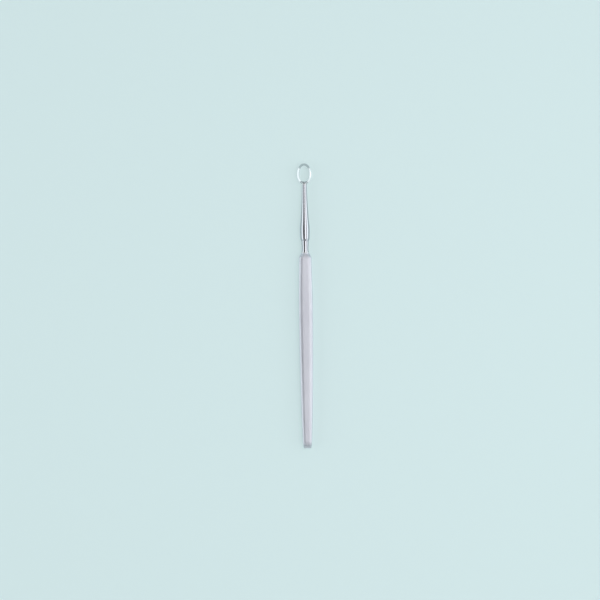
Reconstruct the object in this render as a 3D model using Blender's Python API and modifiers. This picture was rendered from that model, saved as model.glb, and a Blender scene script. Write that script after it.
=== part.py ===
"""Dermal curette: a skin curette with a cutting ring, a turned neck and a hollow flat handle.

The tool lies on its back with its cutting edge up. +Y runs from the tail to the ring, +X across
the broad faces and +Z up. The origin is under the middle of the tool, on the surface that it
lies on. Lengths are in metres, and a distance whose name ends in _AT is measured along the tool
from the face of the tail.
"""

import math

import bmesh
import bpy
import numpy as np
from mathutils import Vector

MM = 0.001

# Handle outline from above: four widths, and where they are. The hip is set from the tail, and
# the belly and the shoulder from the nose, so a longer handle is longer between hip and belly.
HANDLE_LENGTH = 96.2 * MM
TAIL_WIDTH = 4.28 * MM
HIP_WIDTH = 6.02 * MM
BELLY_WIDTH = 6.85 * MM
SHOULDER_WIDTH = 6.1 * MM
TAIL_TO_HIP = 29.5 * MM
BELLY_TO_SHOULDER = 23.0 * MM
SHOULDER_LENGTH = 4.2 * MM
SHOULDER_POWER = 3.8  # a larger value keeps the shoulder full for longer
SHOULDER_FLARE = 2.8  # above 1, so that the shoulder runs out along the neck
NOSE_WALL = 0.1 * MM  # the shells end this thick round the neck

# Handle from the side: the broad faces stay level, then close in towards the tail.
HANDLE_THICKNESS = 5.0 * MM
TAIL_THICKNESS = 3.4 * MM
THINNING_LENGTH = 35.0 * MM
THINNING_POWER = 1.6  # above 1, so that the thinning starts without a crease

# The handle's end is wedge-like: at the tail it has come in by these amounts on each side.
SLOPE_LENGTH = 3.8 * MM
SLOPE_THINNING = 1.2 * MM
SLOPE_NARROWING = 0.35 * MM
SLOPE_POWER = 2.0  # above 1, so that the slope starts without a crease and ends steepest

# Pressed half-shells: each corner is rounded this far in from the side and down from the face.
CORNER_REACH = 2.0 * MM
CORNER_DROP = 1.1 * MM
LEAST_FLAT = 0.05 * MM  # what is left of each straight stretch where the section turns round
SHELL_WALL = 0.5 * MM
SEAM_GAP = 0.02 * MM

# Neck: diameters, and the lengths between them from the handle's nose to the tip.
ROOT_DIAMETER = 3.6 * MM
WAIST_DIAMETER = 3.2 * MM
LAND_DIAMETER = 3.44 * MM
STEP_FOOT_DIAMETER = 3.5 * MM
STEP_TOP_DIAMETER = 4.45 * MM
CREST_DIAMETER = 4.74 * MM
FLANK_DIAMETER = 3.85 * MM
TAPER_DIAMETER = 3.0 * MM
TIP_DIAMETER = 2.25 * MM
ROOT_TO_WAIST = 2.0 * MM
WAIST_TO_LAND = 2.0 * MM
LAND_TO_STEP_FOOT = 2.0 * MM
STEP_LENGTH = 1.9 * MM
STEP_TOP_TO_CREST = 3.3 * MM
CREST_TO_FLANK = 5.6 * MM
FLANK_TO_TAPER = 6.9 * MM
TAPER_TO_TIP = 9.9 * MM
TIP_CHAMFER = 0.12 * MM
TANG_DIAMETER = 2.4 * MM
TANG_LENGTH = 6.5 * MM
TANG_CHAMFER = 0.3 * MM

# Front bush, which fills the shells behind the shoulder and holds the tang.
BUSH_LENGTH = 8.0 * MM
BUSH_CHAMFER = 0.3 * MM

# Tail plug: a cap that closes the handle, and a spigot between the shells.
CAP_LENGTH = 1.6 * MM
CAP_CHAMFER = 0.3 * MM
SPIGOT_LENGTH = 4.5 * MM
SPIGOT_FIT = 0.1 * MM  # looser than the other fits, because the shells' walls slope there
SPIGOT_CHAMFER = 0.2 * MM

# Cutting ring, an egg-shaped oval that is longer on the far side. Sizes are over the outside.
RING_WIDTH = 7.0 * MM
RING_FAR_REACH = 5.4 * MM
RING_NEAR_REACH = 4.8 * MM
BAND_WIDTH = 0.85 * MM
BAND_HEIGHT = 1.7 * MM
BEVEL_DROP = 0.55 * MM
INNER_LEAN = 0.2 * MM
RIM_RADIUS = 0.2 * MM

# Stem of the ring: a domed throat on the neck's tip, and a pin in the neck's bore.
THROAT_HEIGHT = 1.2 * MM
THROAT_SINK = 0.1 * MM  # the throat ends this far inside the band
PIN_DIAMETER = 1.2 * MM
PIN_LENGTH = 6.0 * MM
PIN_CHAMFER = 0.15 * MM
BORE_SPARE = 0.3 * MM

# Brazed joints: the clearance round a piece, and between two faces that seat on each other.
FIT = 0.05 * MM
FACE_GAP = 0.02 * MM

# Facets.
ROUND_STEPS = 48
PIN_STEPS = 24
CORNER_STEPS = 7
HANDLE_PITCH = 4.0 * MM
SLOPE_PITCH = 0.5 * MM
SHOULDER_STATIONS = 9
NECK_PITCH = 0.95 * MM
RING_POINTS = 72
RIM_STEPS = 3
SMOOTH_ANGLE = math.radians(30)

# Worked out from the sizes above.
NOSE_AT = HANDLE_LENGTH
SHOULDER_AT = NOSE_AT - SHOULDER_LENGTH
BELLY_AT = SHOULDER_AT - BELLY_TO_SHOULDER
HIP_AT = TAIL_TO_HIP
NECK_STATIONS = np.cumsum([
    0.0, ROOT_TO_WAIST, WAIST_TO_LAND, LAND_TO_STEP_FOOT, STEP_LENGTH, STEP_TOP_TO_CREST,
    CREST_TO_FLANK, FLANK_TO_TAPER, TAPER_TO_TIP,
])
NECK_RADII = np.array([
    ROOT_DIAMETER, WAIST_DIAMETER, LAND_DIAMETER, STEP_FOOT_DIAMETER, STEP_TOP_DIAMETER,
    CREST_DIAMETER, FLANK_DIAMETER, TAPER_DIAMETER, TIP_DIAMETER,
]) / 2
NECK_LENGTH = float(NECK_STATIONS[-1])
TIP_AT = NOSE_AT + NECK_LENGTH
STEM_AT = TIP_AT + FACE_GAP
RING_AT = STEM_AT + RING_NEAR_REACH
TOOL_LENGTH = RING_AT + RING_FAR_REACH
PASSAGE_RADIUS = ROOT_DIAMETER / 2 + FIT
NOSE_RADIUS = PASSAGE_RADIUS + NOSE_WALL
SHELL_TAIL_AT = CAP_LENGTH + FACE_GAP
COLLAR_LENGTH = SHOULDER_LENGTH - FACE_GAP

ALONG_THE_TOOL = (-math.pi / 2, 0.0, 0.0)  # turns a turned piece's axis from +Z to +Y


def clear_scene():
    """Remove every object, so that the script starts from an empty scene."""
    for obj in list(bpy.data.objects):
        bpy.data.objects.remove(obj)


def new_collection(name):
    """A collection linked to the scene."""
    collection = bpy.data.collections.new(name)
    bpy.context.scene.collection.children.link(collection)
    return collection


def steel(name, colour, roughness):
    """A Principled stainless steel of one colour and finish."""
    material = bpy.data.materials.new(name)
    material.use_nodes = True
    shader = material.node_tree.nodes["Principled BSDF"]
    shader.inputs["Base Color"].default_value = (*colour, 1.0)
    shader.inputs["Metallic"].default_value = 1.0
    shader.inputs["Roughness"].default_value = roughness
    return material


def add_object(mesh, collection, parent, at=0.0, rotation=(0.0, 0.0, 0.0)):
    """An object for the mesh, on the tool's axis at a distance from the tail."""
    obj = bpy.data.objects.new(mesh.name, mesh)
    collection.objects.link(obj)
    obj.parent = parent
    obj.location = (0.0, at, 0.0)
    obj.rotation_euler = rotation
    return obj


def make_cutter(obj):
    """Mark an object as one that only cuts or joins others."""
    obj.hide_render = True
    obj.display_type = "WIRE"
    return obj


def give(obj, material):
    """Give an object its material, and smooth shading with sharp corners."""
    obj.data.materials.append(material)
    obj.data.shade_smooth()
    obj.data.set_sharp_from_angle(angle=SMOOTH_ANGLE)
    return obj


def combine(obj, other, operation):
    """Add a Boolean modifier that works on obj with other."""
    boolean = obj.modifiers.new(f"{operation.lower()} {other.name}", "BOOLEAN")
    boolean.operation = operation
    boolean.object = other
    boolean.solver = "EXACT"


def smooth_through(stations, values, at):
    """Values at the given places on a smooth curve through the stations.

    Each stretch is a cubic. The slope at a station is the harmonic mean of the slopes on its two
    sides, and zero at a peak or a dip, so the curve never swings past a station's value.
    """
    stations, values = np.asarray(stations, float), np.asarray(values, float)
    lengths = np.diff(stations)
    rises = np.diff(values) / lengths
    before, after = rises[:-1], rises[1:]
    turns = before * after <= 0
    total = np.where(turns, 1.0, before + after)
    slopes = np.concatenate([
        rises[:1], np.where(turns, 0.0, 2 * before * after / total), rises[-1:],
    ])
    stretch = np.clip(np.searchsorted(stations, at, side="right") - 1, 0, len(lengths) - 1)
    t = (at - stations[stretch]) / lengths[stretch]
    start, end = values[stretch], values[stretch + 1]
    leave = slopes[stretch] * lengths[stretch]
    arrive = slopes[stretch + 1] * lengths[stretch]
    return (
        start * (2 * t**3 - 3 * t**2 + 1)
        + end * (3 * t**2 - 2 * t**3)
        + leave * (t**3 - 2 * t**2 + t)
        + arrive * (t**3 - t**2)
    )


def handle_sections(at, inset):
    """Closed sections of the handle, one for each place along it, as rows of points.

    A section has level faces, upright sides and a quarter ellipse at each corner. It closes in
    over the sloping end, and over the shoulder it shrinks to the round nose. The inset moves a
    section in, and is one value or one for each place.
    """
    at = np.atleast_1d(np.asarray(at, float))
    inset = np.broadcast_to(np.asarray(inset, float), at.shape)
    body = np.minimum(at, SHOULDER_AT)
    half_width = smooth_through(
        [0.0, HIP_AT, BELLY_AT, SHOULDER_AT],
        np.array([TAIL_WIDTH, HIP_WIDTH, BELLY_WIDTH, SHOULDER_WIDTH]) / 2,
        body,
    )
    thinning = np.clip(1 - at / THINNING_LENGTH, 0.0, 1.0) ** THINNING_POWER
    half_thickness = (HANDLE_THICKNESS - (HANDLE_THICKNESS - TAIL_THICKNESS) * thinning) / 2
    thinned = half_thickness / (HANDLE_THICKNESS / 2)
    closing = np.clip(1 - at / SLOPE_LENGTH, 0.0, 1.0) ** SLOPE_POWER
    half_thickness = half_thickness - SLOPE_THINNING * closing
    half_width = half_width - SLOPE_NARROWING * closing
    flat = half_width - CORNER_REACH * thinned
    upright = half_thickness - CORNER_DROP * thinned

    over = np.clip((at - SHOULDER_AT) / SHOULDER_LENGTH, 0.0, 1.0)
    left = (1 - over**SHOULDER_POWER) ** SHOULDER_FLARE
    half_width = NOSE_RADIUS + (half_width - NOSE_RADIUS) * left
    half_thickness = NOSE_RADIUS + (half_thickness - NOSE_RADIUS) * left
    half_width = half_width - inset
    half_thickness = half_thickness - inset
    flat = np.clip(flat * left, LEAST_FLAT, half_width - LEAST_FLAT)
    upright = np.clip(upright * left, LEAST_FLAT, half_thickness - LEAST_FLAT)

    quarter = np.linspace(0.0, math.pi / 2, CORNER_STEPS + 1)
    angle = np.concatenate([
        quarter, math.pi - quarter[::-1], math.pi + quarter, 2 * math.pi - quarter[::-1],
    ])
    right = np.repeat([1, -1, -1, 1], len(quarter))
    above = np.repeat([1, 1, -1, -1], len(quarter))
    across = right * flat[:, None] + np.cos(angle) * (half_width - flat)[:, None]
    up = above * upright[:, None] + np.sin(angle) * (half_thickness - upright)[:, None]
    along = np.broadcast_to(at[:, None], across.shape)
    return np.stack([across, along, up], axis=-1)


def slope_stations(start, end):
    """Places along the handle's sloping end, close enough for its curve."""
    return np.linspace(start, end, math.ceil((end - start) / SLOPE_PITCH) + 1)


def loft(name, sections, capped):
    """A mesh through closed sections with equal counts of points, with or without end faces."""
    index = np.arange(sections.shape[0] * sections.shape[1]).reshape(sections.shape[:2])
    ahead = np.roll(index, -1, axis=1)
    quads = np.stack([index[:-1], index[1:], ahead[1:], ahead[:-1]], axis=-1)
    faces = quads.reshape(-1, 4).tolist()
    if capped:
        faces += [index[0].tolist(), index[-1][::-1].tolist()]
    mesh = bpy.data.meshes.new(name)
    mesh.from_pydata(sections.reshape(-1, 3).tolist(), [], faces)
    return mesh


def profile_mesh(name, outline):
    """A chain of edges through (radius, height) points, for a Screw modifier to turn."""
    mesh = bpy.data.meshes.new(name)
    points = [(radius, 0.0, height) for radius, height in outline]
    mesh.from_pydata(points, [(i, i + 1) for i in range(len(points) - 1)], [])
    return mesh


def turn(obj, steps):
    """Turn a profile about the object's Z axis into a closed round solid."""
    screw = obj.modifiers.new("turn", "SCREW")
    screw.axis = "Z"
    screw.steps = steps
    screw.render_steps = steps
    screw.use_merge_vertices = True
    screw.merge_threshold = 0.001 * MM
    screw.use_smooth_shade = True
    return obj


def cylinder(name, radius, length, segments):
    """A closed cylinder about +Z, centred on its middle."""
    build = bmesh.new()
    bmesh.ops.create_cone(
        build, cap_ends=True, segments=segments, radius1=radius, radius2=radius, depth=length
    )
    mesh = bpy.data.meshes.new(name)
    build.to_mesh(mesh)
    build.free()
    return mesh


def box(name, low, high):
    """A closed box between two corners."""
    build = bmesh.new()
    bmesh.ops.create_cube(build, size=1.0)
    low, high = Vector(low), Vector(high)
    bmesh.ops.scale(build, vec=high - low, verts=build.verts)
    bmesh.ops.translate(build, vec=(low + high) / 2, verts=build.verts)
    mesh = bpy.data.meshes.new(name)
    build.to_mesh(mesh)
    build.free()
    return mesh


def egg(half_width, far_reach, near_reach):
    """Points of an oval whose two halves differ in length, counterclockwise from +X."""
    turn_angle = np.arange(RING_POINTS) * (2 * math.pi / RING_POINTS)
    reach = np.where(np.sin(turn_angle) >= 0, far_reach, near_reach)
    return np.stack([half_width * np.cos(turn_angle), reach * np.sin(turn_angle)], axis=-1)


def closed_curve(name, points):
    """A closed flat curve with straight edges between its points."""
    curve = bpy.data.curves.new(name, "CURVE")
    curve.dimensions = "2D"
    spline = curve.splines.new("POLY")
    spline.points.add(len(points) - 1)
    for point, place in zip(spline.points, points):
        point.co = (*place, 0.0, 1.0)
    spline.use_cyclic_u = True
    obj = bpy.data.objects.new(name, curve)
    bpy.context.scene.collection.objects.link(obj)
    return obj


def swept(name, path, outline):
    """A mesh of the outline carried round the closed path; the outline's +X points outwards."""
    path_curve = closed_curve(name + "_path", path)
    outline_curve = closed_curve(name + "_outline", [(-out, up) for out, up in outline])
    path_curve.data.bevel_mode = "OBJECT"
    path_curve.data.bevel_object = outline_curve
    bpy.context.view_layer.update()
    graph = bpy.context.evaluated_depsgraph_get()
    mesh = bpy.data.meshes.new_from_object(path_curve.evaluated_get(graph))
    mesh.name = name
    mesh.materials.clear()
    for curve in (path_curve, outline_curve):
        bpy.data.objects.remove(curve)
    return mesh


def band_outline():
    """Section of the ring's band, as points (out from the cutting edge, up from mid-height).

    The cutting edge is where the ground bevel meets the inner wall. The bevel falls outwards,
    the outer wall is upright, the blunt rim is rounded, and the inner wall leans in below.
    """
    top, bottom = BAND_HEIGHT / 2, -BAND_HEIGHT / 2

    def rim(out, start_angle):
        """A quarter round of the blunt rim about its centre."""
        angles = [start_angle + math.pi / 2 * step / RIM_STEPS for step in range(RIM_STEPS + 1)]
        return [
            (out + RIM_RADIUS * math.cos(a), bottom + RIM_RADIUS * (1 + math.sin(a))) for a in angles
        ]

    return [
        (0.0, top),
        *rim(RIM_RADIUS - INNER_LEAN, math.pi),
        *rim(BAND_WIDTH - RIM_RADIUS, 1.5 * math.pi),
        (BAND_WIDTH, top - BEVEL_DROP),
    ]


def opening_mesh(grown):
    """The space inside the ring's leaning inner wall, run past both of its faces."""
    reach = BAND_HEIGHT
    lean = INNER_LEAN / BAND_HEIGHT
    levels = []
    for height in (-reach, reach):
        out = grown - BAND_WIDTH + lean * (height - BAND_HEIGHT / 2)
        oval = egg(RING_WIDTH / 2 + out, RING_FAR_REACH + out, RING_NEAR_REACH + out)
        levels.append(np.column_stack([oval, np.full(len(oval), height)]))
    return loft("ring_opening", np.array(levels)[:, ::-1], capped=True)


def build_cutting_ring(parts, cutters, axis, material):
    """The oval cutting band with its throat and pin, joined into one piece."""
    edge = (RING_WIDTH / 2 - BAND_WIDTH, RING_FAR_REACH - BAND_WIDTH, RING_NEAR_REACH - BAND_WIDTH)
    band = swept("cutting_ring", egg(*edge), band_outline())
    ring = add_object(band, parts, axis, RING_AT)

    throat_radius = TIP_DIAMETER / 2
    pin_radius = PIN_DIAMETER / 2
    dome = [
        (throat_radius * math.sin(a), THROAT_HEIGHT * math.cos(a))
        for a in np.linspace(0.0, math.pi / 2, CORNER_STEPS + 1)
    ]
    outline = dome + [
        (pin_radius, 0.0),
        (pin_radius, PIN_CHAMFER - PIN_LENGTH),
        (pin_radius - PIN_CHAMFER, -PIN_LENGTH),
        (0.0, -PIN_LENGTH),
    ]
    stem = add_object(profile_mesh("ring_stem", outline), cutters, axis, STEM_AT, ALONG_THE_TOOL)
    turn(make_cutter(stem), PIN_STEPS)
    opening = make_cutter(add_object(opening_mesh(THROAT_SINK), cutters, axis, RING_AT))
    combine(stem, opening, "DIFFERENCE")
    combine(ring, stem, "UNION")
    return give(ring, material)


def build_neck(parts, axis, material):
    """The turned neck: bored tip, long taper, baluster, collar in the nose and tang in the bush."""
    root = ROOT_DIAMETER / 2
    tang = TANG_DIAMETER / 2
    tip = TIP_DIAMETER / 2
    bore = PIN_DIAMETER / 2 + FIT
    bore_floor = NECK_LENGTH - PIN_LENGTH - BORE_SPARE
    rings = math.ceil(NECK_LENGTH / NECK_PITCH)
    heights = np.linspace(NECK_LENGTH - TIP_CHAMFER, 0.0, rings + 1)
    radii = smooth_through(NECK_STATIONS, NECK_RADII, heights)
    tang_end = -COLLAR_LENGTH - TANG_LENGTH
    outline = [
        (0.0, bore_floor),
        (bore, bore_floor),
        (bore, NECK_LENGTH),
        (tip - TIP_CHAMFER, NECK_LENGTH),
        *zip(radii.tolist(), heights.tolist()),
        (root, -COLLAR_LENGTH),
        (tang, -COLLAR_LENGTH),
        (tang, tang_end + TANG_CHAMFER),
        (tang - TANG_CHAMFER, tang_end),
        (0.0, tang_end),
    ]
    neck = add_object(profile_mesh("neck", outline), parts, axis, NOSE_AT, ALONG_THE_TOOL)
    return turn(give(neck, material), ROUND_STEPS)


def build_front_bush(parts, cutters, axis, material):
    """The block inside the shells behind the shoulder, bored through for the neck's tang."""
    start, end = SHOULDER_AT - BUSH_LENGTH, SHOULDER_AT
    at = np.array([start, start + BUSH_CHAMFER, end - BUSH_CHAMFER, end])
    inset = SHELL_WALL + FIT + np.array([BUSH_CHAMFER, 0.0, 0.0, BUSH_CHAMFER])
    bush = add_object(loft("front_bush", handle_sections(at, inset), capped=True), parts, axis)
    drill = cylinder("bush_bore", TANG_DIAMETER / 2 + FIT, 2 * BUSH_LENGTH, ROUND_STEPS)
    middle = (start + end) / 2
    combine(bush, make_cutter(add_object(drill, cutters, axis, middle, ALONG_THE_TOOL)), "DIFFERENCE")
    return give(bush, material)


def build_shells(parts, cutters, axis, material):
    """The two pressed halves of the handle, which meet at a seam along each side."""
    body_rings = math.ceil(SHOULDER_AT / HANDLE_PITCH)
    at = np.concatenate([
        slope_stations(CAP_LENGTH - SHELL_WALL, SLOPE_LENGTH),
        np.linspace(SLOPE_LENGTH, SHOULDER_AT, body_rings + 1)[1:],
        np.linspace(SHOULDER_AT, NOSE_AT, SHOULDER_STATIONS + 1)[1:],
    ])
    passage = make_cutter(add_object(
        cylinder("neck_passage", PASSAGE_RADIUS, 2 * SHOULDER_LENGTH, ROUND_STEPS),
        cutters, axis, NOSE_AT, ALONG_THE_TOOL,
    ))
    shells = []
    for name, side in (("handle_upper_shell", 1), ("handle_lower_shell", -1)):
        near, far = sorted((side * SEAM_GAP / 2, side * HANDLE_THICKNESS))
        half = make_cutter(add_object(
            box(name + "_half", (-BELLY_WIDTH, SHELL_TAIL_AT, near), (BELLY_WIDTH, TOOL_LENGTH, far)),
            cutters, axis,
        ))
        shell = add_object(loft(name, handle_sections(at, 0.0), capped=False), parts, axis)
        wall = shell.modifiers.new("wall", "SOLIDIFY")
        wall.thickness = SHELL_WALL
        wall.offset = -1.0
        wall.use_even_offset = True
        combine(shell, passage, "DIFFERENCE")
        combine(shell, half, "INTERSECT")
        shells.append(give(shell, material))
    return shells


def build_tail_plug(parts, axis, material):
    """The cap that closes the tail, with its chamfered face and the spigot between the shells."""
    inside = SHELL_WALL + SPIGOT_FIT
    end = CAP_LENGTH + SPIGOT_LENGTH
    cap = slope_stations(CAP_CHAMFER, CAP_LENGTH)
    spigot = slope_stations(CAP_LENGTH, end - SPIGOT_CHAMFER)
    at = np.array([0.0, *cap, *spigot, end])
    inset = np.concatenate([
        [CAP_CHAMFER], np.zeros(len(cap)), np.full(len(spigot), inside), [inside + SPIGOT_CHAMFER],
    ])
    plug = add_object(loft("tail_plug", handle_sections(at, inset), capped=True), parts, axis)
    return give(plug, material)


def main():
    clear_scene()
    parts = new_collection("dermal_curette")
    cutters = new_collection("cutters")
    axis = bpy.data.objects.new("tool_axis", None)
    parts.objects.link(axis)
    axis.location = (0.0, -TOOL_LENGTH / 2, HANDLE_THICKNESS / 2)

    satin = steel("satin_stainless", (0.62, 0.63, 0.65), 0.38)
    polished = steel("polished_stainless", (0.72, 0.73, 0.74), 0.08)
    ground = steel("ground_edge_stainless", (0.78, 0.79, 0.80), 0.16)

    build_cutting_ring(parts, cutters, axis, ground)
    build_neck(parts, axis, polished)
    build_front_bush(parts, cutters, axis, satin)
    build_shells(parts, cutters, axis, satin)
    build_tail_plug(parts, axis, satin)


main()
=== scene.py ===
"""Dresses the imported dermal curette: a ground cutting ring, a polished neck and a satin handle.

Lengths are in metres, in the CAD's frame: +Y runs from the tail to the ring, +X across the broad
faces and +Z up, and the tool lies on z = 0 with its cutting edge up. A distance called at is
measured along the tool from the face of its tail.
"""

import logging
import math
from dataclasses import dataclass
from enum import Enum

import bpy
import numpy as np
from mathutils import Matrix, Vector


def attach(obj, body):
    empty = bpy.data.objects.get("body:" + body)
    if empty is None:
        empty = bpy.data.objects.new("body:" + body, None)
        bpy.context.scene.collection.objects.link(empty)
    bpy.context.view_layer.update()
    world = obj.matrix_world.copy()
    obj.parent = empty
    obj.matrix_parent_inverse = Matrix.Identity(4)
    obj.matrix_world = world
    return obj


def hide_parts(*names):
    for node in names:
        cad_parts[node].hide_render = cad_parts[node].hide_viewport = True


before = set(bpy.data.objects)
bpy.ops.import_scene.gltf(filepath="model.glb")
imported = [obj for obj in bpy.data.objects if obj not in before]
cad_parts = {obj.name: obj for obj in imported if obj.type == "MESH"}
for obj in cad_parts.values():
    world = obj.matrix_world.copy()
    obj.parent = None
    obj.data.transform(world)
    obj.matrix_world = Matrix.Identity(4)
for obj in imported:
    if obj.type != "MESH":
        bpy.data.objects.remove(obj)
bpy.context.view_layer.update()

LOG = logging.getLogger("dermal_curette")
MM = 0.001
TOOL_LENGTH = 140.02 * MM  # from the tail's face to the ring's far side
AXIS_HEIGHT = 2.5 * MM  # over what the tool lies on
SHARP_ANGLE = math.radians(35)  # between two faces, past which their edge is sharp
ROUND_POINTS = 96  # on a full turn about an axis
EDGE_POINT = "edge_point"  # the attribute that holds each point's place on the cutting edge
NOISE_RANGE = (0.3, 0.7)  # where most of a noise texture's values lie


class Slot(Enum):
    """The record's material slots."""

    GROUND = "ground_steel"
    POLISHED = "polished_steel"
    SATIN = "satin_steel"
    INNER = "inner_steel"


class End(Enum):
    """How the ring of points at an end of a surface is closed."""

    FACE = "one flat face"
    POLE = "a fan of triangles to its middle"


class Half(Enum):
    """The two pressed halves of the handle, by the side of mid-height that they lie on."""

    UPPER = 1
    LOWER = -1


# Shapes.


def smooth_through(stations: np.ndarray, values: np.ndarray, at: np.ndarray) -> np.ndarray:
    """Values on a smooth curve through stations.

    Each stretch is a cubic. The slope at a station is the harmonic mean of the slopes on its two
    sides, and zero at a peak or a dip, so the curve never swings past a station's value.

    Args:
        stations: Places along the tool, rising.
        values: The value at each station.
        at: The places where the curve is read.

    Returns:
        The curve's value at each place.
    """
    lengths = np.diff(stations)
    rises = np.diff(values) / lengths
    before, after = rises[:-1], rises[1:]
    turns = before * after <= 0
    total = np.where(turns, 1.0, before + after)
    slopes = np.concatenate(
        [rises[:1], np.where(turns, 0.0, 2 * before * after / total), rises[-1:]]
    )
    stretch = np.clip(np.searchsorted(stations, at, side="right") - 1, 0, len(lengths) - 1)
    t = (at - stations[stretch]) / lengths[stretch]
    leave, arrive = slopes[stretch] * lengths[stretch], slopes[stretch + 1] * lengths[stretch]
    return (
        values[stretch] * (2 * t**3 - 3 * t**2 + 1)
        + values[stretch + 1] * (3 * t**2 - 2 * t**3)
        + leave * (t**3 - 2 * t**2 + t)
        + arrive * (t**3 - t**2)
    )


def rounded(corners: list[tuple[float, float]], radii: list[float], steps: int = 6) -> np.ndarray:
    """A closed outline with its corners rounded.

    A corner becomes the arc that touches both its sides. The arc starts radius times tan(turn / 2)
    before the corner, where turn is the change of heading there, and its centre is a radius to
    the side that the outline turns to. A point on each side, a third of that reach further out,
    keeps the flat between two arcs flat in its shading.

    Args:
        corners: The corners in order.
        radii: The radius at each corner.
        steps: Points on an arc.

    Returns:
        The outline's points, one row each.
    """
    corner, radius = np.asarray(corners, float), np.asarray(radii, float)[:, None]
    leaving = np.roll(corner, -1, axis=0) - corner
    leaving /= np.linalg.norm(leaving, axis=1, keepdims=True)
    arriving = np.roll(leaving, 1, axis=0)
    cross = arriving[:, 0] * leaving[:, 1] - arriving[:, 1] * leaving[:, 0]
    turn = np.arctan2(cross, (arriving * leaving).sum(1))[:, None]
    reach = radius * np.tan(np.abs(turn) / 2)
    spoke = -np.sign(turn) * radius * np.stack([-arriving[:, 1], arriving[:, 0]], axis=1)
    start = corner - arriving * reach
    angle = turn * np.linspace(0.0, 1.0, steps)
    arc = np.stack(
        [
            np.cos(angle) * spoke[:, :1] - np.sin(angle) * spoke[:, 1:],
            np.sin(angle) * spoke[:, :1] + np.cos(angle) * spoke[:, 1:],
        ],
        axis=-1,
    ) + (start - spoke)[:, None]
    beyond = reach / 3
    before = (start - arriving * beyond)[:, None]
    after = (corner + leaving * (reach + beyond))[:, None]
    return np.concatenate([before, arc, after], axis=1).reshape(-1, 2)


def surface(name: str, points: np.ndarray, ends: End | None) -> bpy.types.Mesh:
    """A closed mesh over a grid of points, with its faces outwards and its sharp edges marked.

    Row i of the grid is a ring that closes on itself, and quads join each ring to the next. The
    faces are turned round where the volume, the sum over triangles of a·(b×c)/6, is negative.

    Args:
        name: The mesh's name.
        points: Places in the tool's frame, where y is the distance from the tail and z the height
            over the tool's axis, as an array of rows by places round a ring by three.
        ends: How the first and last rings are closed, or None where the last joins the first.

    Returns:
        The mesh, in the CAD's frame.
    """
    rows, around = points.shape[:2]
    index = np.arange(rows * around).reshape(rows, around)
    near = index if ends is None else index[:-1]
    far = np.roll(index, -1, axis=0) if ends is None else index[1:]
    quads = np.stack([near, far, np.roll(far, -1, axis=1), np.roll(near, -1, axis=1)], axis=-1)
    faces = quads.reshape(-1, 4).tolist()
    places = points.reshape(-1, 3)
    if ends is End.FACE:
        faces += [index[0].tolist(), index[-1][::-1].tolist()]
    elif ends is End.POLE:
        first, last = index[0], index[-1]
        places = np.concatenate([places, points[0].mean(0)[None], points[-1].mean(0)[None]])
        poles = np.full(around, rows * around)
        faces += np.stack([first, np.roll(first, -1), poles], axis=-1).tolist()
        faces += np.stack([np.roll(last, -1), last, poles + 1], axis=-1).tolist()
    mesh = bpy.data.meshes.new(name)
    mesh.from_pydata((places + (0.0, -TOOL_LENGTH / 2, AXIS_HEIGHT)).tolist(), [], faces)
    mesh.calc_loop_triangles()
    corners = np.empty(len(mesh.loop_triangles) * 3, np.int64)
    mesh.loop_triangles.foreach_get("vertices", corners)
    a, b, c = np.moveaxis(places[corners.reshape(-1, 3)], 1, 0)
    if (a * np.cross(b, c)).sum() < 0:
        mesh.flip_normals()
    mesh.shade_smooth()
    mesh.set_sharp_from_angle(angle=SHARP_ANGLE)
    return mesh


def circles(outline: np.ndarray, around: int) -> np.ndarray:
    """Circles about the tool's axis.

    The point at angle a on a circle is (radius cos a, at, radius sin a).

    Args:
        outline: A row of (radius, at) for each circle.
        around: Points on a circle.

    Returns:
        Points, as an array of circles by points by three.
    """
    angle = np.arange(around) * (2 * math.pi / around)
    radius, at = outline[:, :1], np.broadcast_to(outline[:, 1:], (len(outline), around))
    return np.stack([radius * np.cos(angle), at, radius * np.sin(angle)], axis=-1)


def turned(name: str, outline: np.ndarray, ends: End | None = End.POLE) -> bpy.types.Mesh:
    """A surface of revolution about the tool's axis.

    Args:
        name: The mesh's name.
        outline: Rows of (radius, at), from end to end or round a section clear of the axis.
        ends: How the ends are closed, or None where the outline goes round a section.

    Returns:
        The closed mesh.
    """
    return surface(name, circles(outline, ROUND_POINTS), ends)


def add_edge_points(mesh: bpy.types.Mesh, places: np.ndarray) -> None:
    """Give each of the mesh's points a place on the cutting edge, which a material reads.

    Args:
        mesh: The mesh.
        places: A row of three for each of its points.
    """
    attribute = mesh.attributes.new(EDGE_POINT, "FLOAT_VECTOR", "POINT")
    attribute.data.foreach_set("vector", places.astype(np.float32).ravel())


def add_piece(
    mesh: bpy.types.Mesh, material: bpy.types.Material, node: str
) -> bpy.types.Object:
    """Put a piece in the scene: it rides on the tool's one body and stands for a CAD node.

    Args:
        mesh: The piece's mesh, in place.
        material: Its finish.
        node: The CAD node that it replaces.

    Returns:
        The piece.
    """
    mesh.materials.append(material)
    piece = bpy.data.objects.new(mesh.name, mesh)
    bpy.context.scene.collection.objects.link(piece)
    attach(piece, "root")
    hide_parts(node)
    return piece


# Finishes.


def linear(colour: str) -> tuple[float, float, float, float]:
    """Turn an sRGB colour into a linear one.

    Args:
        colour: The colour as a hex value, such as #D3D4DC.

    Returns:
        Its linear red, green and blue, and full alpha.
    """
    parts = np.array([int(colour[i : i + 2], 16) for i in (1, 3, 5)]) / 255
    low, high = parts / 12.92, ((parts + 0.055) / 1.055) ** 2.4
    return (*np.where(parts <= 0.04045, low, high).tolist(), 1.0)


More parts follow.
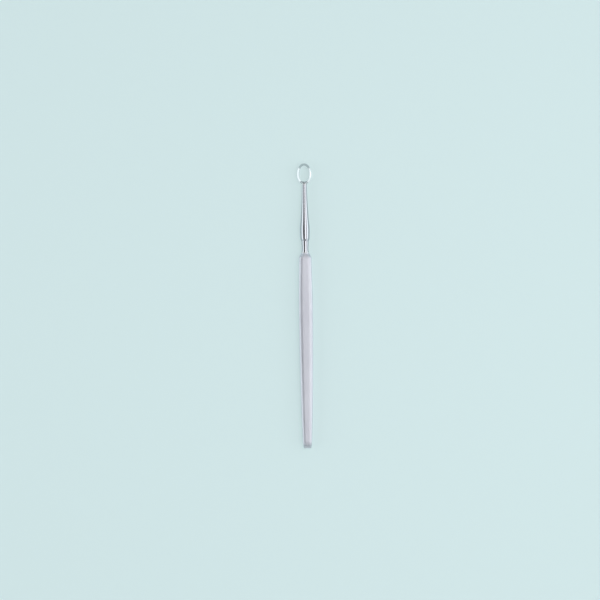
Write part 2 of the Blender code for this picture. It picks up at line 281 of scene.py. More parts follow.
def add_node(
    tree: bpy.types.NodeTree, kind: str, settings: dict | None = None, links: dict | None = None
) -> bpy.types.Node:
    """Add a node to a material with its settings and links.

    Args:
        tree: The material's or the world's node tree.
        kind: The node's type, without the ShaderNode in front.
        settings: Values by input name or number, or by property name.
        links: Output sockets by the input's name or number.

    Returns:
        The node.
    """
    node = tree.nodes.new("ShaderNode" + kind)
    for key, value in (settings or {}).items():
        if isinstance(key, int) or key in node.inputs:
            node.inputs[key].default_value = value
        else:
            setattr(node, key, value)
    for key, output in (links or {}).items():
        tree.links.new(output, node.inputs[key])
    return node


def start_material(name: str) -> bpy.types.Material:
    """Make a material with an empty node tree.

    Args:
        name: The material's name.

    Returns:
        The material.
    """
    material = bpy.data.materials.new(name)
    material.use_nodes = True
    material.node_tree.nodes.clear()
    return material


def grain(
    tree: bpy.types.NodeTree, size: tuple[float, float, float], detail: float,
    source: bpy.types.NodeSocket | None = None,
) -> bpy.types.NodeSocket:
    """A field of noise whose spots have their own size along each axis.

    Args:
        tree: The material's node tree.
        size: How far apart the spots are along x, y and z, in metres.
        detail: How many finer layers of noise are added.
        source: The coordinates, or None for the object's own.

    Returns:
        The output socket of the noise, from 0 to 1.
    """
    source = source or add_node(tree, "TexCoord").outputs["Object"]
    place = add_node(
        tree, "Mapping", {"Scale": [1 / length for length in size]}, {"Vector": source}
    )
    noise = add_node(
        tree, "TexNoise", {"Scale": 1.0, "Detail": detail, "Roughness": 0.6},
        {"Vector": place.outputs["Vector"]},
    )
    return noise.outputs["Fac"]


def spread(
    tree: bpy.types.NodeTree, value: bpy.types.NodeSocket, low: float, high: float
) -> bpy.types.NodeSocket:
    """Noise's usual range, stretched to run from low to high.

    Args:
        tree: The material's node tree.
        value: The noise.
        low: What the range's low end becomes.
        high: What its high end becomes.

    Returns:
        The output socket of the stretched value.
    """
    least, most = NOISE_RANGE
    settings = {"From Min": least, "From Max": most, "To Min": low, "To Max": high}
    return add_node(tree, "MapRange", settings, {"Value": value}).outputs["Result"]


@dataclass(frozen=True)
class Steel:
    """A bare stainless steel: its colour from spot to spot, its roughness and its fine marks.

    The marks are noise that is stretched along the way that the tool which made them moved. They
    tilt the surface a little and make it a little rougher or smoother. The smears are wider spots
    of colour and roughness, twice as long as they are wide.
    """

    name: str
    light: str
    dark: str
    roughness: float
    uneven: float
    mark_size: tuple[float, float, float]
    mark_depth: float
    mark_detail: float = 3.0
    smear_size: tuple[float, float, float] = (7.0 * MM, 14.0 * MM, 7.0 * MM)
    smear_detail: float = 2.0
    tilt: float = 0.5
    coordinates: str = ""

    def material(self) -> bpy.types.Material:
        """The finish as a material, with metallic 1 and its index of refraction left alone.

        Returns:
            The material, whose marks follow the attribute named as its coordinates, or else the
            object's own coordinates.
        """
        material = start_material(self.name)
        tree = material.node_tree
        source = None
        if self.coordinates:
            settings = {"attribute_name": self.coordinates}
            source = add_node(tree, "Attribute", settings).outputs["Vector"]
        marks = grain(tree, self.mark_size, self.mark_detail, source)
        smears = grain(tree, self.smear_size, self.smear_detail)
        colour = add_node(
            tree, "Mix", {"data_type": "RGBA", 6: linear(self.dark), 7: linear(self.light)},
            {0: spread(tree, smears, 0.0, 1.0)},
        )
        rough = add_node(
            tree, "Math", {"operation": "ADD"},
            {
                0: spread(tree, marks, self.roughness - self.uneven, self.roughness + self.uneven),
                1: spread(tree, smears, -self.uneven / 2, self.uneven / 2),
            },
        )
        tilt = add_node(
            tree, "Bump", {"Strength": self.tilt, "Distance": self.mark_depth}, {"Height": marks}
        )
        shader = add_node(
            tree, "BsdfPrincipled", {"Metallic": 1.0},
            {
                "Base Color": colour.outputs[2],
                "Roughness": rough.outputs[0],
                "Normal": tilt.outputs["Normal"],
            },
        )
        add_node(tree, "OutputMaterial", None, {"Surface": shader.outputs["BSDF"]})
        return material


# Satin stainless steel, pressed, belt-ground along the tool and then blasted. It gives a soft grey
# sheen with no image in it. The belt's lines are 0.05 mm apart, too fine to show, so they are
# drawn 0.2 mm apart.
SATIN = Steel(
    name="satin_stainless_blasted", light="#D2D3DB", dark="#C9CAD3", roughness=0.5, uneven=0.03,
    mark_size=(0.2 * MM, 6.0 * MM, 0.2 * MM), mark_depth=0.009 * MM,
)
# Stainless steel, dressed across the tool on a fine belt once the tail was closed. It is a little
# greyer and sharper than the blasted shells, and its colour also holds painted shade, which makes
# the darker band at the tail's end. Its lines are the belt's too, drawn 0.2 mm apart.
DRESSED_AND_PAINTED_SHADE = Steel(
    name="belt_dressed_stainless_painted_shade", light="#C6C8CF", dark="#BDBFC6", roughness=0.4, uneven=0.03,
    mark_size=(6.0 * MM, 0.2 * MM, 0.2 * MM), mark_depth=0.004 * MM,
)
# Stainless steel, turned and mop-polished. It mirrors the lamps in long bright lines, which the
# last traces of turning round the axis soften a little. Those are 0.1 mm apart, too fine to show,
# so they are drawn 0.3 mm apart.
MIRROR = Steel(
    name="mirror_polished_stainless", light="#BABCC2", dark="#B3B5BC", roughness=0.08, uneven=0.02,
    mark_size=(4.0 * MM, 0.3 * MM, 4.0 * MM), mark_depth=0.0006 * MM,
)
# Stainless steel, ground across the band with a fine wheel. It gives a keen, slightly grey edge.
# The wheel's lines are 0.03 mm apart, and are drawn 0.15 mm apart so that they show at all.
GROUND = Steel(
    name="fine_ground_stainless", light="#C1C5C8", dark="#B9BDC1", roughness=0.15, uneven=0.03,
    mark_size=(0.15 * MM, 0.15 * MM, 0.15 * MM), mark_depth=0.0015 * MM,
    coordinates=EDGE_POINT,
)
# Stainless steel as it leaves the lathe, with rings 0.2 mm apart. It lies inside the handle.
TURNED = Steel(
    name="plain_turned_stainless", light="#C4C6CA", dark="#B7B9BF", roughness=0.35, uneven=0.05,
    mark_size=(3.0 * MM, 0.2 * MM, 3.0 * MM), mark_depth=0.004 * MM,
)
# Silver brazing alloy, flowed and buffed. It is a little warmer and softer than the steel, with a
# mottle of about 0.4 mm.
BRAZE = Steel(
    name="buffed_silver_braze", light="#DEDCD6", dark="#D2CFC8", roughness=0.24, uneven=0.04,
    mark_size=(0.4 * MM, 0.4 * MM, 0.4 * MM), mark_depth=0.003 * MM,
)


# The tool.


@dataclass(frozen=True)
class HandleForm:
    """The handle's outer form, which the shells and the tail plug share."""

    stations: tuple[float, ...] = (0.0, 29.5 * MM, 69.0 * MM, 92.0 * MM)
    widths: tuple[float, ...] = (4.28 * MM, 6.02 * MM, 6.85 * MM, 6.1 * MM)
    thickness: float = 5.0 * MM
    tail_thickness: float = 3.4 * MM
    thinning_length: float = 35.0 * MM
    thinning_power: float = 1.6
    corner_reach: float = 2.0 * MM
    corner_drop: float = 1.1 * MM
    least_flat: float = 0.12 * MM
    slope_length: float = 3.8 * MM
    slope_thinning: float = 1.2 * MM
    slope_narrowing: float = 0.35 * MM
    slope_power: float = 2.0
    cap_length: float = 1.6 * MM
    shoulder_length: float = 4.2 * MM
    shoulder_power: float = 3.8
    shoulder_flare: float = 2.8
    passage_radius: float = 1.85 * MM
    nose_radius: float = 1.95 * MM
    seam_gap: float = 0.02 * MM
    seam_rise: float = 0.08 * MM
    seam_share: float = 0.7
    upright_stop: float = 0.96
    flat_stops: tuple[float, ...] = (0.9, 0.3)
    corner_steps: int = 18
    seam_steps: int = 5

    @property
    def shoulder_at(self) -> float:
        """Where the shoulder starts."""
        return self.stations[-1]

    @property
    def nose_at(self) -> float:
        """Where the handle ends and the neck leaves it."""
        return self.shoulder_at + self.shoulder_length

    def extents(self, at: np.ndarray) -> tuple[np.ndarray, ...]:
        """The sizes of the section at each place.

        The width follows a smooth curve through its stations. The thickness is level, and falls
        off over the last stretch to the tail as a power of the distance. The sloping end takes
        more off both, also as a power. Over the shoulder each shrinks to the round nose by the
        share (1 - distance^power)^flare.

        Args:
            at: Places along the handle.

        Returns:
            Half the width, half the thickness, half the level strip and half the upright one.
        """
        body = np.minimum(at, self.shoulder_at)
        width = smooth_through(np.array(self.stations), np.array(self.widths), body) / 2
        thinning = np.clip(1 - at / self.thinning_length, 0.0, 1.0) ** self.thinning_power
        height = (self.thickness - (self.thickness - self.tail_thickness) * thinning) / 2
        thinned = height / (self.thickness / 2)
        closing = np.clip(1 - at / self.slope_length, 0.0, 1.0) ** self.slope_power
        height = height - self.slope_thinning * closing
        width = width - self.slope_narrowing * closing
        over = np.clip((at - self.shoulder_at) / self.shoulder_length, 0.0, 1.0)
        left = (1 - over**self.shoulder_power) ** self.shoulder_flare
        flat = np.maximum((width - self.corner_reach * thinned) * left, self.least_flat)
        upright = np.maximum((height - self.corner_drop * thinned) * left, self.least_flat)
        width = self.nose_radius + (width - self.nose_radius) * left
        height = self.nose_radius + (height - self.nose_radius) * left
        return width, height, flat, upright

    def arch(self, at: np.ndarray, inset: np.ndarray, seam_in: float) -> np.ndarray:
        """The upper half of the section at each place, from the right seam over to the left one.

        The sides are upright and the top is level, and a quarter ellipse joins them, from
        (side, upright) at angle 0 to (flat, height) at a right angle. Points just short of the
        ellipse's ends keep the straight strips flat in their shading. At the seam a quarter
        ellipse pulls the edge in by seam_in (1 - sin b) at a height of rise (1 - cos b). The
        rise is at most a share of the upright strip.

        Args:
            at: Places along the handle.
            inset: How far each section is moved in.
            seam_in: How far the edge at the seam is pulled in.

        Returns:
            Points, as an array of places by points by three.
        """
        at, inset = np.asarray(at, float)[:, None], np.asarray(inset, float)[:, None]
        width, height, flat, upright = self.extents(at)
        width, height = width - inset, height - inset
        flat = np.minimum(flat, width - self.least_flat)
        upright = np.minimum(upright, height - self.least_flat)
        lip = np.linspace(0.0, math.pi / 2, self.seam_steps)
        rise = np.minimum(self.seam_rise, self.seam_share * upright - self.seam_gap / 2)
        foot = self.seam_gap / 2 + rise * (1 - np.cos(lip))
        angle = np.linspace(0.0, math.pi / 2, self.corner_steps)
        stops = flat * self.flat_stops
        across = np.concatenate([
            width - seam_in * (1 - np.sin(lip)), width,
            flat + (width - flat) * np.cos(angle), stops,
        ], axis=1)
        up = np.concatenate([
            foot, upright * self.upright_stop, upright + (height - upright) * np.sin(angle),
            np.broadcast_to(height, stops.shape),
        ], axis=1)
        across = np.concatenate([across, -across[:, ::-1]], axis=1)
        up = np.concatenate([up, up[:, ::-1]], axis=1)
        return np.stack([across, np.broadcast_to(at, across.shape), up], axis=-1)

    def ring(self, at: np.ndarray, inset: np.ndarray) -> np.ndarray:
        """The whole section at each place, as its upper half and the same turned over.

        Args:
            at: Places along the handle.
            inset: How far each section is moved in.

        Returns:
            Points, as an array of places by points by three.
        """
        upper = self.arch(at, inset, 0.0)
        return np.concatenate([upper, upper * (-1.0, 1.0, -1.0)], axis=1)


@dataclass(frozen=True)
class HandleShells:
    """The two pressed and welded halves of the handle, with a fine groove at the seam."""

    form: HandleForm
    wall: float = 0.5 * MM
    joint_gap: float = 0.02 * MM
    edge_round: float = 0.1 * MM
    edge_steps: int = 6
    slope_rings: int = 12
    body_rings: int = 120
    shoulder_rings: int = 40

    def mesh(self, half: Half) -> bpy.types.Mesh:
        """One half as a closed shell with a wall.

        Each ring runs over the outer arch and back over the inner one, which is the same arch
        moved in by the wall, and past the shoulder's start kept outside the passage for the neck.
        The outer arch is pulled in by a quarter round at the tail.

        Args:
            half: Which half.

        Returns:
            The shell's mesh.
        """
        form = self.form
        turn = np.linspace(0.0, math.pi / 2, self.edge_steps)
        tail_at = form.cap_length + self.joint_gap
        lip = tail_at + self.edge_round * (1 - np.cos(turn))
        slope = np.linspace(tail_at + 2 * self.edge_round, form.slope_length, self.slope_rings)
        body = np.linspace(form.slope_length, form.shoulder_at, self.body_rings)[1:]
        nose = np.linspace(form.shoulder_at, form.nose_at, self.shoulder_rings + 1)[1:]
        at = np.concatenate([lip, slope, body, nose])
        inset = np.zeros(len(at))
        inset[: len(lip)] = self.edge_round * (1 - np.sin(turn))
        outer = form.arch(at, inset, self.edge_round)
        inner = form.arch(at, np.full(len(at), self.wall), 0.0)
        passage = np.where(at > form.shoulder_at, form.passage_radius, 0.0)[:, None, None]
        reach = np.linalg.norm(inner[..., ::2], axis=-1, keepdims=True)
        inner = inner * np.where([True, False, True], np.maximum(1.0, passage / reach), 1.0)
        points = np.concatenate([outer, inner[:, ::-1]], axis=1) * (1.0, 1.0, float(half.value))
        return surface(f"handle_{half.name.lower()}_half", points, End.FACE)

    def build(self) -> list[bpy.types.Object]:
        """Build both halves.

        Returns:
            The two shells, in satin steel.
        """
        material = SATIN.material()
        return [
            add_piece(self.mesh(half), material, f"handle_{half.name.lower()}_shell")
            for half in Half
        ]


@dataclass(frozen=True)
class TailPlug:
    """The plug that closes the tail, with its sloping cap and the spigot between the shells."""

    form: HandleForm
    corner_round: float = 0.3 * MM
    spigot_length: float = 4.5 * MM
    spigot_inset: float = 0.6 * MM
    spigot_chamfer: float = 0.2 * MM
    edge_round: float = 0.1 * MM
    face_reach: float = 1.1
    slope_start: float = 1.3
    round_steps: int = 10
    slope_rings: int = 16

    def build(self) -> list[bpy.types.Object]:
        """Build the plug: the handle's section, moved in by an outline of (at, inset).

        The end's corner and the edge at the joint are quarter rounds: radius (1 - sin a) in from
        the face and radius (1 - cos a) in from the side. The outline starts on the end's face,
        face_reach corner radii in, and the slope's rings start slope_start corner radii along.

        Returns:
            The plug, in dressed steel whose colour holds painted shade.
        """
        joint = self.form.cap_length
        end = joint + self.spigot_length
        turn = np.linspace(math.pi / 2, 0.0, self.round_steps)
        down, back = 1 - np.cos(turn), 1 - np.sin(turn)
        corner = self.corner_round * np.stack([back, down], axis=1)
        slope = np.zeros((self.slope_rings, 2))
        slope[:, 0] = np.linspace(
            self.corner_round * self.slope_start, joint - self.edge_round * 2, self.slope_rings
        )
        edge = (joint, 0.0) + self.edge_round * np.stack([-back, down], axis=1)[::-1]
        outline = np.concatenate([
            [(0.0, self.corner_round * self.face_reach)], corner, slope, edge,
            [(joint, self.spigot_inset), (end - self.spigot_chamfer, self.spigot_inset)],
            [(end, self.spigot_inset + self.spigot_chamfer)],
        ])
        points = self.form.ring(outline[:, 0], outline[:, 1])
        mesh = surface("tail_plug_cap", points, End.FACE)
        # The plug's steel is darker by painted shade as well as by its belt finish.
        return [add_piece(mesh, DRESSED_AND_PAINTED_SHADE.material(), "tail_plug")]


@dataclass(frozen=True)
class Neck:
    """The turned neck: bored tip, long taper, swelling with its step, collar and tang.

    The visible profile is given from the handle's nose on, in millimetres: the length of each
    stretch, and the diameter where each starts and the last ends. The step's middle is 0.85 mm
    nearer the handle than the solid's, where the photograph has it.
    """

    root_at: float = 96.2 * MM
    lengths: tuple[float, ...] = (2.0, 2.0, 1.3, 1.6, 4.3, 5.6, 6.9, 9.9)
    diameters: tuple[float, ...] = (3.6, 3.2, 3.44, 3.5, 4.45, 4.74, 3.85, 3.0, 2.25)
    bore_radius: float = 0.65 * MM
    bore_depth: float = 6.3 * MM
    tang_radius: float = 1.2 * MM
    tang_length: float = 6.5 * MM
    tang_chamfer: float = 0.3 * MM
    collar_length: float = 4.18 * MM
    tip_round: float = 0.06 * MM
    tip_steps: int = 5
    hub: float = 0.5
    rows: int = 260

    @property
    def tip_at(self) -> float:
        """Where the neck ends and the ring's throat starts."""
        return self.root_at + sum(self.lengths) * MM

    def skin(self) -> np.ndarray:
        """The visible profile, as rows of (radius, at) from the root to the tip.

        Returns:
            The rows, on the smooth curve through the stations' diameters.
        """
        stations = np.concatenate([[0.0], np.cumsum(self.lengths)]) * MM
        at = np.linspace(0.0, stations[-1] - self.tip_round, self.rows)
        radius = smooth_through(stations, np.array(self.diameters) / 2 * MM, at)
        return np.stack([radius, self.root_at + at], axis=1)

    def build(self) -> list[bpy.types.Object]:
        """Build the neck, from the tang's end over its skin and back down the bore.

        The tip's corner is a quarter round of (radius cos a, radius sin a). The flat ends have a
        ring at a share, the hub, of their radius, and then a pole.

        Returns:
            The neck, in polished steel.
        """
        skin = self.skin()
        root, tip = skin[0, 0], skin[-1, 0]
        collar_end = self.root_at - self.collar_length
        tang_end = collar_end - self.tang_length
        bore_floor = self.tip_at - self.bore_depth
        turn = np.linspace(0.0, math.pi / 2, self.tip_steps)[1:]
        corner = self.tip_round * np.stack([np.cos(turn) - 1, np.sin(turn)], axis=1)
        back = np.array([
            (self.tang_radius * self.hub, tang_end),
            (self.tang_radius - self.tang_chamfer, tang_end),
            (self.tang_radius, tang_end + self.tang_chamfer), (self.tang_radius, collar_end),
            (root, collar_end),
        ])
        bore = np.array([
            (self.bore_radius, self.tip_at), (self.bore_radius, bore_floor),
            (self.bore_radius * self.hub, bore_floor),
        ])
        outline = np.concatenate([back, skin, (tip, skin[-1, 1]) + corner, bore])
        mesh = turned("neck_turned", outline)
        return [add_piece(mesh, MIRROR.material(), "neck")]


@dataclass(frozen=True)
class CuttingRing:
    """The cutting ring: an oval band with a ground bevel, and the throat and pin that hold it."""

    stem_at: float = 129.82 * MM
    half_width: float = 3.5 * MM
    far_reach: float = 5.4 * MM
    near_reach: float = 4.8 * MM
    band_width: float = 0.85 * MM
    band_height: float = 1.7 * MM
    bevel_drop: float = 0.55 * MM
    inner_lean: float = 0.2 * MM
    rim_radius: float = 0.2 * MM
    edge_radius: float = 0.02 * MM
    heel_radius: float = 0.06 * MM
    throat_radius: float = 1.125 * MM
    throat_reach: float = 0.7 * MM
    flare: float = 1.1 * MM
    dome_share: float = 0.45
    dome_fall: float = 0.9
    widest_share: float = 0.98
    pin_radius: float = 0.6 * MM
    pin_length: float = 6.0 * MM
    pin_chamfer: float = 0.15 * MM
    path_points: int = 240
    throat_points: int = 72
    throat_rows: int = 28

    @property
    def centre_at(self) -> float:
        """Where the ring is widest."""
        return self.stem_at + self.near_reach

    def band(self) -> bpy.types.Mesh:
        """The band: its rounded section carried round the cutting edge.

        The edge is the oval (width cos a, reach sin a), whose reach differs between its far and
        near halves. A section point lies at edge + out times the oval's outward normal.

        Returns:
            The mesh, with each point's place on the cutting edge as its attribute.
        """
        top, bottom = self.band_height / 2, -self.band_height / 2
        section = rounded(
            [
                (0.0, top), (-self.inner_lean, bottom), (self.band_width, bottom),
                (self.band_width, top - self.bevel_drop),
            ],
            [self.edge_radius, self.rim_radius, self.rim_radius, self.heel_radius],
        )
        angle = (np.arange(self.path_points) + 0.5) * (2 * math.pi / self.path_points)
        width = self.half_width - self.band_width
        reach = np.where(np.sin(angle) >= 0, self.far_reach, self.near_reach) - self.band_width
        edge = np.stack([width * np.cos(angle), reach * np.sin(angle)], axis=1)
        normal = np.stack([reach * np.cos(angle), width * np.sin(angle)], axis=1)
        normal /= np.linalg.norm(normal, axis=1, keepdims=True)
        flat = edge[:, None] + normal[:, None] * section[None, :, :1]
        up = np.broadcast_to(section[:, 1], flat.shape[:2])
        points = np.stack([flat[..., 0], self.centre_at + flat[..., 1], up], axis=-1)
        mesh = surface("cutting_band", points, None)
        places = np.concatenate([edge, np.zeros((len(edge), 1))], axis=1)
        add_edge_points(mesh, np.repeat(places, len(section), axis=0))
        return mesh

    def throat(self) -> bpy.types.Mesh:
        """The throat and pin: a rod that flares to meet the band.

        At share t of the way, a row is the ellipse (wide cos a, high sin a). Its width grows with
        the square of t, and a share of its height, the dome's, falls as a quarter ellipse. Each
        point moves forward by t times the rise of the band's outside at that point's x, which is
        read no wider than widest_share of the ring, so the rows bend to the band.

        Returns:
            The mesh, with each point's own place as its attribute.
        """
        angle = np.arange(self.throat_points) * (2 * math.pi / self.throat_points)
        t = np.linspace(0.0, 1.0, self.throat_rows)[:, None]
        wide = self.throat_radius + self.flare * t**2
        dome = self.dome_share * np.sqrt(1 - self.dome_fall * t**2)
        high = self.throat_radius * (1 - self.dome_share + dome)
        across, up = wide * np.cos(angle), high * np.sin(angle)
        share = np.minimum(np.abs(across) / self.half_width, self.widest_share)
        rise = self.near_reach * (1 - np.sqrt(1 - share**2))
        throat = np.stack([across, self.stem_at + (self.throat_reach + rise) * t, up], axis=-1)
        radius, end = self.pin_radius, self.stem_at - self.pin_length
        pin = np.array([
            (radius - self.pin_chamfer, end), (radius, end + self.pin_chamfer),
            (radius, self.stem_at),
        ])
        grid = np.concatenate([circles(pin, self.throat_points), throat])
        mesh = surface("ring_throat", grid, End.POLE)
        places = np.empty(len(mesh.vertices) * 3, np.float32)
        mesh.vertices.foreach_get("co", places)
        add_edge_points(mesh, places)
        return mesh

    def build(self) -> list[bpy.types.Object]:
        """Build the ring.

        Returns:
            The band and the throat, both in ground steel.
        """
        material = GROUND.material()
        return [
            add_piece(mesh, material, "cutting_ring")
            for mesh in (self.band(), self.throat())
        ]


@dataclass(frozen=True)
class Brazing:
    """The brazed joints that show: the fillet at the handle's nose and the line at the tip."""

    nose_at: float = 96.2 * MM
    fillet_radius: float = 1.94 * MM
    fillet_depth: float = 0.16 * MM
    fillet_length: float = 0.26 * MM
    fillet_inside: float = 1.76 * MM
    fillet_root: tuple[float, float] = (0.24 * MM, -0.05 * MM)
    tip_at: float = 129.81 * MM
    line_radius: float = 1.115 * MM
    line_height: float = 0.02 * MM
    line_half_length: float = 0.07 * MM
    line_inside: float = 1.05 * MM
    steps: int = 9

    def nose(self) -> bpy.types.Mesh:
        """The fillet at the nose, a concave quarter ellipse between the shoulder and the neck.

        At angle a it is (radius - depth sin a, length (1 - cos a)) from the nose.

        Returns:
            The mesh, turned from a closed outline of (radius, at).
        """
        turn = np.linspace(0.0, math.pi / 2, self.steps)
        hollow = np.stack([
            self.fillet_radius - self.fillet_depth * np.sin(turn),
            self.nose_at + self.fillet_length * (1 - np.cos(turn)),
        ], axis=1)
        inside = [(self.fillet_inside, self.nose_at + root) for root in self.fillet_root]
        return turned("nose_braze", np.concatenate([hollow, inside]), ends=None)

    def tip(self) -> bpy.types.Mesh:
        """The line of braze at the tip, a low round band over the joint.

        At angle a it is (radius + height sin a, - half length cos a) from the joint.

        Returns:
            The mesh, turned from a closed outline of (radius, at).
        """
        turn = np.linspace(0.0, math.pi, self.steps)
        reach = self.line_half_length
        crown = np.stack([
            self.line_radius + self.line_height * np.sin(turn), self.tip_at - reach * np.cos(turn),
        ], axis=1)
        inside = [(self.line_inside, self.tip_at + reach), (self.line_inside, self.tip_at - reach)]
        return turned("tip_braze", np.concatenate([crown, inside]), ends=None)

    def build(self) -> list[bpy.types.Object]:
        """Build both joints.

        Returns:
            The fillet and the line, in silver braze.
        """
        material = BRAZE.material()
        return [
            add_piece(self.nose(), material, "neck"),
            add_piece(self.tip(), material, "neck"),
        ]


@dataclass(frozen=True)
class FrontBush:
    """The bush inside the handle's shoulder, whose CAD solid stays and gets its finish."""

    node: str = "front_bush"

    def build(self) -> list[bpy.types.Object]:
        """Give the CAD node its finish.

        Returns:
            The node, in plain turned steel.
        """
        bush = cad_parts[self.node]
        bush.data.materials.clear()
        bush.data.materials.append(TURNED.material())
        return [bush]


# The studio.


@dataclass(frozen=True)
class SoftBox:
    """A flat lamp, given by the angles from overhead and the distances of its two edges.

    Angles are in degrees, negative to the left, and the first edge is the one further left. The
    lamp reaches along the tool from one y to another. The whole is then turned about +Z.
    """

    name: str
    angles: tuple[float, float]
    distances: tuple[float, float]
    reach: tuple[float, float]
    radiance: float
    turn: float = 0.0

    def build(self) -> bpy.types.Object:
        """Build the lamp, whose power is radiance times pi times its area.

        Returns:
            The lamp, which the camera doesn't see.
        """
        first, second = (
            Vector((distance * math.sin(angle), 0.0, distance * math.cos(angle)))
            for angle, distance in zip(map(math.radians, self.angles), self.distances)
        )
        across = second - first
        lamp = bpy.data.lights.new(self.name, "AREA")
        lamp.shape = "RECTANGLE"
        lamp.size, lamp.size_y = across.length, self.reach[1] - self.reach[0]
        lamp.energy = self.radiance * math.pi * lamp.size * lamp.size_y
        box = bpy.data.objects.new(self.name, lamp)
        x_axis, y_axis = across.normalized(), Vector((0.0, 1.0, 0.0))
        turned_to = Matrix((x_axis, y_axis, x_axis.cross(y_axis))).transposed().to_4x4()
        middle = (first + second) / 2 + Vector((0.0, sum(self.reach) / 2, 0.0))
        about = Matrix.Rotation(math.radians(self.turn), 4, "Z")
        box.matrix_world = about @ Matrix.Translation(middle) @ turned_to
        box.visible_camera = False
        bpy.context.scene.collection.objects.link(box)
        return box


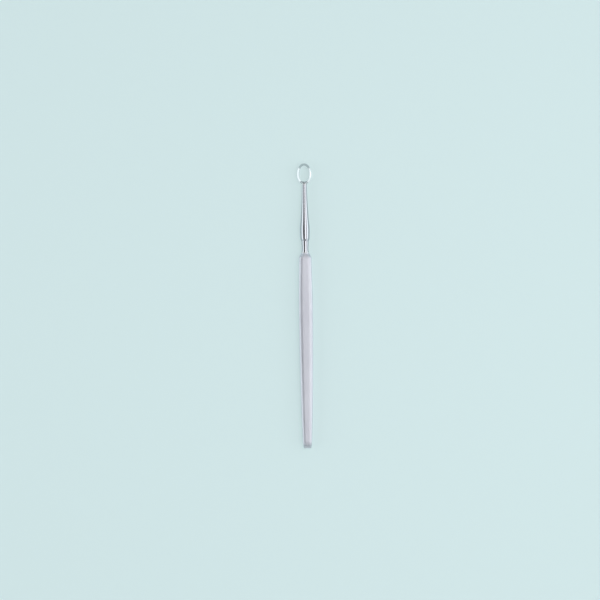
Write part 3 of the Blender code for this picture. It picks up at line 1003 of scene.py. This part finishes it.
@dataclass(frozen=True)
class Studio:
    """The pale floor that turns up into a wall, the lamps, the dim room and the camera.

    The gap between left_box and top_box is the dark line along the neck. The right boxes and
    neck_box light the right sides, and tail_box lights the tail's end.
    """

    floor_colour: str = "#D8ECED"
    own_light: float = 0.6
    own_light_grows: tuple[float, float] = (0.25, 0.75)
    middle_radius: float = 0.02
    floor_radius: float = 0.9
    bend_radius: float = 0.5
    wall_height: float = 0.75
    flat_rings: int = 8
    bend_rings: int = 12
    room_colour: str = "#F4F8FC"
    room_lightens: tuple[float, float] = (1.0, 0.45)
    ceiling_strength: float = 0.03
    wall_strength: float = 0.7
    pixels: int = 600
    field: float = 295.1 * MM
    lens: float = 100.0
    sensor: float = 36.0
    roll: float = math.radians(-0.72)
    origin_pixel: tuple[float, float] = (305.85, 305.85)
    lamps: tuple[SoftBox, ...] = (
        SoftBox("top_box", (-2.0, 30.0), (0.75, 0.8), (-0.45, 0.45), 2.0),
        SoftBox("right_box", (31.0, 52.0), (0.8, 0.8), (-0.62, 0.45), 0.42),
        SoftBox("low_right_box", (52.0, 82.0), (0.8, 0.8), (-0.62, 0.45), 0.9),
        SoftBox("neck_box", (50.0, 84.0), (0.78, 0.78), (-0.05, 0.25), 0.45),
        SoftBox("left_box", (-86.0, -47.0), (0.8, 0.8), (-0.45, 0.45), 1.08),
        SoftBox("tail_box", (75.0, 88.0), (0.8, 0.8), (-0.35, 0.35), 0.9, turn=-90.0),
    )

    def floor(self) -> bpy.types.Object:
        """The floor: a flat disc, a quarter round and an upright wall, turned about +Z.

        Returns:
            The floor.
        """
        turn = np.linspace(0.0, math.pi / 2, self.bend_rings + 1)[1:]
        radius = np.concatenate([
            np.linspace(self.middle_radius, self.floor_radius, self.flat_rings),
            self.floor_radius + self.bend_radius * np.sin(turn),
            [self.floor_radius + self.bend_radius],
        ])
        height = np.concatenate([
            np.zeros(self.flat_rings), self.bend_radius * (1 - np.cos(turn)), [self.wall_height],
        ])
        points = circles(np.stack([radius, height], axis=1), ROUND_POINTS)[..., [0, 2, 1]]
        index = np.arange(len(points) * ROUND_POINTS).reshape(-1, ROUND_POINTS)
        ahead = np.roll(index, -1, axis=1)
        quads = np.stack([index[:-1], index[1:], ahead[1:], ahead[:-1]], axis=-1).reshape(-1, 4)
        mesh = bpy.data.meshes.new("floor")
        mesh.from_pydata(points.reshape(-1, 3).tolist(), [], quads.tolist() + [index[0].tolist()])
        mesh.shade_smooth()
        mesh.materials.append(self.card())
        floor = bpy.data.objects.new("floor", mesh)
        bpy.context.scene.collection.objects.link(floor)
        return floor

    def card(self) -> bpy.types.Material:
        """Matt pale card, of which a share shows its colour as written to the eye and in metal.

        The rest takes the lamps' light, and so keeps the tool's shadow. The share grows to the
        whole between two distances from the tool, so the far floor and the wall are plain.

        Returns:
            The material.
        """
        material = start_material("matt_pale_card")
        tree = material.node_tree
        colour = linear(self.floor_colour)
        matt = add_node(
            tree, "BsdfPrincipled",
            {"Base Color": colour, "Roughness": 0.9, "Specular IOR Level": 0.1},
        )
        plain = add_node(tree, "Emission", {"Color": colour, "Strength": 1.0})
        ray = add_node(tree, "LightPath").outputs
        seen = add_node(
            tree, "Math", {"operation": "MAXIMUM"},
            {0: ray["Is Camera Ray"], 1: ray["Is Glossy Ray"]},
        )
        seen = add_node(
            tree, "Math", {"operation": "MAXIMUM"},
            {0: seen.outputs[0], 1: ray["Is Transmission Ray"]},
        )
        place = add_node(tree, "TexCoord").outputs["Object"]
        distance = add_node(tree, "VectorMath", {"operation": "LENGTH"}, {0: place})
        near, far = self.own_light_grows
        settings = {
            "interpolation_type": "SMOOTHSTEP", "From Min": near, "From Max": far,
            "To Min": self.own_light, "To Max": 1.0,
        }
        own = add_node(tree, "MapRange", settings, {"Value": distance.outputs["Value"]})
        share = add_node(
            tree, "Math", {"operation": "MULTIPLY"},
            {0: seen.outputs[0], 1: own.outputs["Result"]},
        )
        mix = add_node(
            tree, "MixShader", None,
            {0: share.outputs[0], 1: matt.outputs["BSDF"], 2: plain.outputs["Emission"]},
        )
        add_node(tree, "OutputMaterial", None, {"Surface": mix.outputs["Shader"]})
        return material

    def room(self) -> None:
        """Make the room round the studio, as the world: dark overhead, lighter towards its walls.

        It lightens between two heights of the direction looked in, of which 1 is straight up.
        """
        world = bpy.data.worlds.new("room")
        world.use_nodes = True
        tree = world.node_tree
        tree.nodes.clear()
        toward = add_node(tree, "TexCoord").outputs["Generated"]
        height = add_node(tree, "SeparateXYZ", None, {"Vector": toward}).outputs["Z"]
        above, below = self.room_lightens
        settings = {
            "interpolation_type": "SMOOTHSTEP", "From Min": above, "From Max": below,
            "To Min": self.ceiling_strength, "To Max": self.wall_strength,
        }
        strength = add_node(tree, "MapRange", settings, {"Value": height}).outputs["Result"]
        colour = linear(self.room_colour)
        light = add_node(tree, "Background", {"Color": colour}, {"Strength": strength})
        add_node(tree, "OutputWorld", None, {"Surface": light.outputs["Background"]})
        bpy.context.scene.world = world

    def camera(self) -> bpy.types.Object:
        """The camera, straight above the tool at the photograph's scale, turn and place.

        Its height is field times lens over sensor, and it stands off the tool's middle by as
        much as the tool's middle stands off the picture's.

        Returns:
            The camera.
        """
        data = bpy.data.cameras.new("camera")
        data.lens, data.sensor_width = self.lens, self.sensor
        camera = bpy.data.objects.new("camera", data)
        scale = self.field / self.pixels
        right = (self.origin_pixel[0] - self.pixels / 2) * scale
        down = (self.origin_pixel[1] - self.pixels / 2) * scale
        turn = Matrix.Rotation(self.roll, 4, "Z")
        height = AXIS_HEIGHT + self.field * self.lens / self.sensor
        camera.location = turn @ Vector((-right, down, 0.0)) + Vector((0.0, 0.0, height))
        camera.rotation_euler = (0.0, 0.0, self.roll)
        bpy.context.scene.collection.objects.link(camera)
        bpy.context.scene.camera = camera
        return camera

    def build(self) -> None:
        """Build the whole studio, and show its colours as they are."""
        self.floor()
        self.room()
        for lamp in self.lamps:
            lamp.build()
        self.camera()
        bpy.context.scene.view_settings.view_transform = "Standard"


def main() -> None:
    """Build the tool and the studio."""
    logging.basicConfig(level=logging.INFO, format="%(name)s: %(message)s")
    form = HandleForm()
    assemblies = (
        CuttingRing(), Neck(), Brazing(), FrontBush(), HandleShells(form), TailPlug(form),
    )
    for assembly in assemblies:
        for piece in assembly.build():
            LOG.info("%s, %d faces", piece.name, len(piece.data.polygons))
    Studio().build()


if __name__ == "__main__":
    main()
